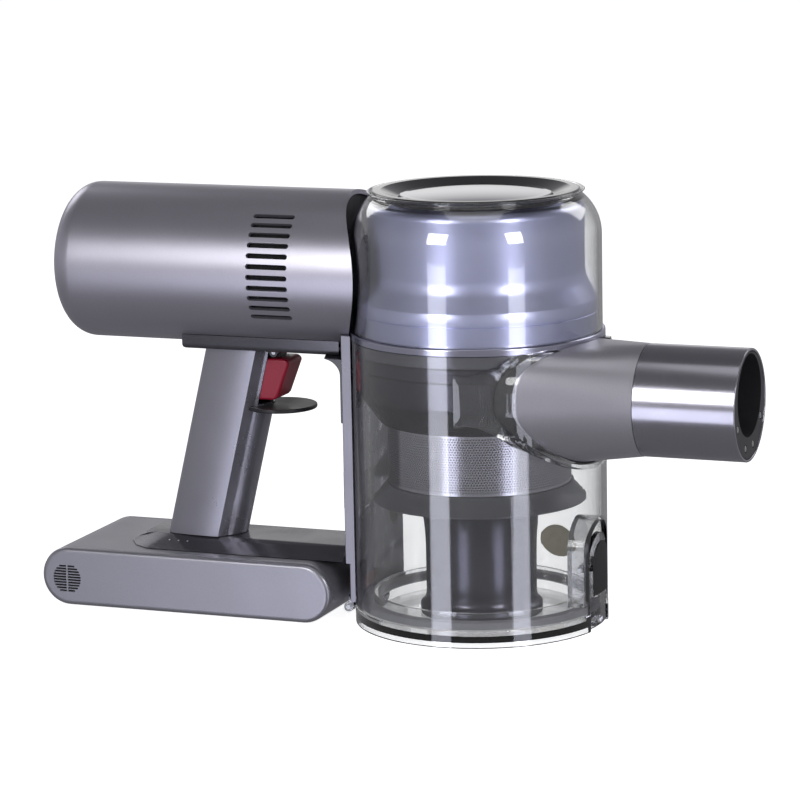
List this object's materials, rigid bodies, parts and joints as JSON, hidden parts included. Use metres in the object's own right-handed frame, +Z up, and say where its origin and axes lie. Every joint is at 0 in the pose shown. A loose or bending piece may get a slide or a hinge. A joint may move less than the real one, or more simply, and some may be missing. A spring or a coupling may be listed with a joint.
{
  "type": "handheld vacuum",
  "caption": "Cordless handheld vacuum: clear cyclone dust cup with a side nozzle, horizontal motor barrel, slanted trigger handle, finger guard and long battery foot.",
  "frame": {"origin": "on the dust cup's vertical axis, at the level of the door's rim and the battery's underside, which is the plane it stands on", "axes": "+X along the nozzle, pointing out of its mouth; +Z up along the cup's axis; -Y the side with the battery grille and status lights"},
  "size_m": [0.3572, 0.1224, 0.2093],
  "materials": {
    "gunmetal": "satin metallic lacquer",
    "battery_paint": "satin metallic lacquer",
    "plated_cover": "satin plated",
    "bright_trim": "polished",
    "clear": "clear gloss",
    "dark_plastic": "satin",
    "gloss_black": "gloss",
    "mirror_disc": "polished",
    "trigger_red": "satin",
    "rubber": "matt",
    "seal_grey": "matt",
    "steel": "brushed",
    "mesh_steel": "perforated",
    "copper": "satin",
    "label_tan": "matt",
    "board_green": "matt",
    "paper": "pleated paper",
    "foam": "open foam",
    "cell_wrap": "shrink film",
    "light": "clear gloss"
  },
  "bodies": {
    "main_frame": {"motor_housing": "gunmetal", "front_bulkhead": "dark_plastic", "intake_gasket": "rubber", "motor_can": "steel", "motor_mount": "rubber", "stator": "copper", "exhaust_filter": "foam", "control_board": "board_green", "top_bar": "gunmetal", "handle_grip": "gunmetal", "finger_guard": "gloss_black", "strut": "gunmetal", "base_rail": "gunmetal", "status_lights": "light", "frame_contacts": "copper", "trigger_pin": "steel", "trigger_spring": "steel", "trigger_switch": "dark_plastic"},
    "rotor": {"rotor_shaft": "steel", "fan_wheel": "dark_plastic"},
    "trigger": {"trigger": "trigger_red", "trigger_arm": "dark_plastic"},
    "cup_release": {"cup_release": "dark_plastic"},
    "cup": {"dust_cup": "clear", "cup_label": "label_tan", "hinge_pin": "steel", "latch_pin": "steel", "latch_spring": "steel", "inlet_duct": "gunmetal", "nozzle_sleeve": "gunmetal", "nozzle_liner": "dark_plastic", "nozzle_contact_1": "steel", "nozzle_contact_2": "steel", "nozzle_contact_3": "steel", "nozzle_contact_4": "steel"},
    "flap": {"inlet_flap": "rubber"},
    "door": {"cup_door": "clear", "door_seal": "seal_grey"},
    "latch": {"latch_lever": "clear", "latch_pad": "rubber"},
    "cyclone": {"cup_ring": "bright_trim", "top_shell": "clear", "metal_cover": "plated_cover", "cyclone_shroud": "dark_plastic", "mesh_screen": "mesh_steel", "shroud_skirt": "dark_plastic", "dust_tube": "dark_plastic", "tube_seal": "rubber", "inner_cone": "dark_plastic"},
    "filter": {"cap_ring": "gloss_black", "cap_disc": "mirror_disc", "pleated_filter": "paper", "filter_seal": "rubber"},
    "battery": {"battery_case": "battery_paint", "battery_side_near": "battery_paint", "battery_side_far": "battery_paint", "battery_grille": "dark_plastic", "battery_cells": "cell_wrap", "battery_board": "board_green"},
    "battery_button": {"battery_button": "dark_plastic"}
  },
  "joints": [
    {"name": "motor_spin", "type": "hinge", "parent": "main_frame", "child": "rotor", "pos_m": [-0.12, 0, 0.1684], "axis": [1, 0, 0], "continuous": true},
    {"name": "trigger_pull", "type": "hinge", "parent": "main_frame", "child": "trigger", "pos_m": [-0.10302, 0, 0.1266], "axis": [0, 1, 0], "range_deg": [0, 7], "stiffness_Nm_per_rad": 0.6, "springref_deg": -14.32},
    {"name": "cup_release_press", "type": "slide", "parent": "main_frame", "child": "cup_release", "axis": [1, 0, 0], "range_m": [0, 0.0022], "stiffness_N_per_m": 600, "springref_m": -0.002},
    {"name": "cup_unhook", "type": "slide", "parent": "main_frame", "child": "cup", "axis": [1, 0, 0], "range_m": [0, 0.09]},
    {"name": "flap_swing", "type": "hinge", "parent": "cup", "child": "flap", "pos_m": [0.0897, -0.0109, 0.13665], "axis": [0, 1, 0], "range_deg": [0, 30]},
    {"name": "door_open", "type": "hinge", "parent": "cup", "child": "door", "pos_m": [-0.0643, 0, 0.0035], "axis": [0, 1, 0], "range_deg": [0, 85]},
    {"name": "latch_press", "type": "hinge", "parent": "cup", "child": "latch", "pos_m": [0.054, 0, 0.03], "axis": [0, -1, 0], "range_deg": [0, 8], "stiffness_Nm_per_rad": 0.3, "springref_deg": -14.32},
    {"name": "cyclone_lift", "type": "slide", "parent": "cup", "child": "cyclone", "axis": [0, 0, 1], "range_m": [0, 0.14]},
    {"name": "filter_lift", "type": "slide", "parent": "cyclone", "child": "filter", "axis": [0, 0, 1], "range_m": [0, 0.065]},
    {"name": "battery_slide", "type": "slide", "parent": "main_frame", "child": "battery", "axis": [-1, 0, 0], "range_m": [0, 0.11]},
    {"name": "battery_button_press", "type": "slide", "parent": "battery", "child": "battery_button", "axis": [1, 0, 0], "range_m": [0, 0.0022], "stiffness_N_per_m": 600, "springref_m": -0.002}
  ]
}
